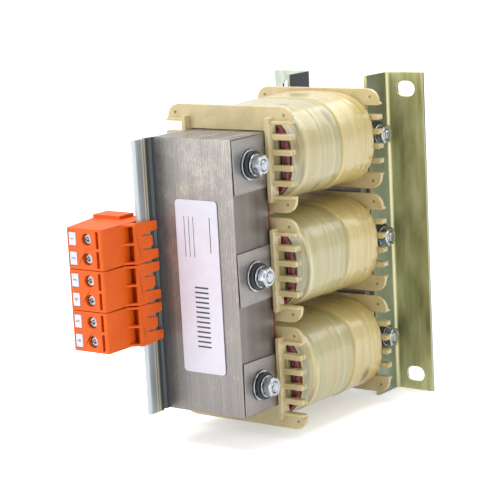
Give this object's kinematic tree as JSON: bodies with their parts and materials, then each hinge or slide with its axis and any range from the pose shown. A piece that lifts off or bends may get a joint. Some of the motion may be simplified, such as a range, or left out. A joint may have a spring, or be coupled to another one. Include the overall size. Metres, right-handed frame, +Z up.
{
  "type": "line reactor",
  "caption": "Three-phase line reactor: laminated core, foil-wrapped coils on comb-flanged bobbins, bent mounting angles and orange screw terminals on a side rail.",
  "frame": {"origin": "middle of the bounding box in plan, level with the lower ends of the mounting angles", "axes": "+Z up along the row of coils, -Y towards the yoke with the nameplate, +Y towards the mounting face, +X towards the nuts, -X towards the terminals"},
  "size_m": [0.1114, 0.196, 0.189],
  "materials": {
    "core_steel": "varnished lamination edges",
    "bare_steel": "bare rolled sheet",
    "zinc_plated_steel": "bright zinc",
    "rail_sheet": "zinc-coated sheet",
    "chromated_steel": "yellow-green chromate on zinc",
    "red_pressboard": "red-brown insulating board",
    "ivory_nylon": "ivory, slightly translucent",
    "enamelled_wire": "dark red enamel on copper",
    "insulating_foil": "yellowish translucent foil",
    "orange_polyamide": "orange, satin",
    "black_plastic": "black, satin",
    "white_label": "white, satin"
  },
  "bodies": {
    "root": {"front_yoke": "core_steel", "e_core_stack": "core_steel", "air_gap_strip": "red_pressboard", "bobbin_1": "ivory_nylon", "bobbin_2": "ivory_nylon", "bobbin_3": "ivory_nylon", "winding_1": "enamelled_wire", "winding_2": "enamelled_wire", "winding_3": "enamelled_wire", "coil_wrap_1": "insulating_foil", "coil_wrap_2": "insulating_foil", "coil_wrap_3": "insulating_foil", "front_large_washer_1": "zinc_plated_steel", "front_large_washer_2": "zinc_plated_steel", "front_large_washer_3": "zinc_plated_steel", "front_washer_1": "zinc_plated_steel", "front_washer_2": "zinc_plated_steel", "front_washer_3": "zinc_plated_steel", "back_washer_1": "zinc_plated_steel", "back_washer_2": "zinc_plated_steel", "back_washer_3": "zinc_plated_steel", "front_insulating_washer_1": "black_plastic", "front_insulating_washer_2": "black_plastic", "front_insulating_washer_3": "black_plastic", "back_insulating_washer_1": "black_plastic", "back_insulating_washer_2": "black_plastic", "back_insulating_washer_3": "black_plastic", "front_nut_1": "zinc_plated_steel", "front_nut_2": "zinc_plated_steel", "front_nut_3": "zinc_plated_steel", "back_nut_1": "zinc_plated_steel", "back_nut_2": "zinc_plated_steel", "back_nut_3": "zinc_plated_steel", "front_bolt_1": "zinc_plated_steel", "front_bolt_2": "zinc_plated_steel", "front_bolt_3": "zinc_plated_steel", "back_bolt_1": "zinc_plated_steel", "back_bolt_2": "zinc_plated_steel", "back_bolt_3": "zinc_plated_steel", "pressure_plate_1": "bare_steel", "pressure_plate_2": "bare_steel", "pressure_plate_3": "bare_steel", "terminal_rail": "rail_sheet", "right_mounting_angle": "chromated_steel", "left_mounting_angle": "chromated_steel", "terminal_block_1": "orange_polyamide", "terminal_block_2": "orange_polyamide", "terminal_block_3": "orange_polyamide", "clamp_screw_1": "zinc_plated_steel", "clamp_screw_2": "zinc_plated_steel", "clamp_screw_3": "zinc_plated_steel", "clamp_screw_4": "zinc_plated_steel", "clamp_screw_5": "zinc_plated_steel", "clamp_screw_6": "zinc_plated_steel", "marker_strip_1": "white_label", "marker_strip_2": "white_label", "marker_strip_3": "white_label", "nameplate": "white_label"}
  },
  "joints": []
}
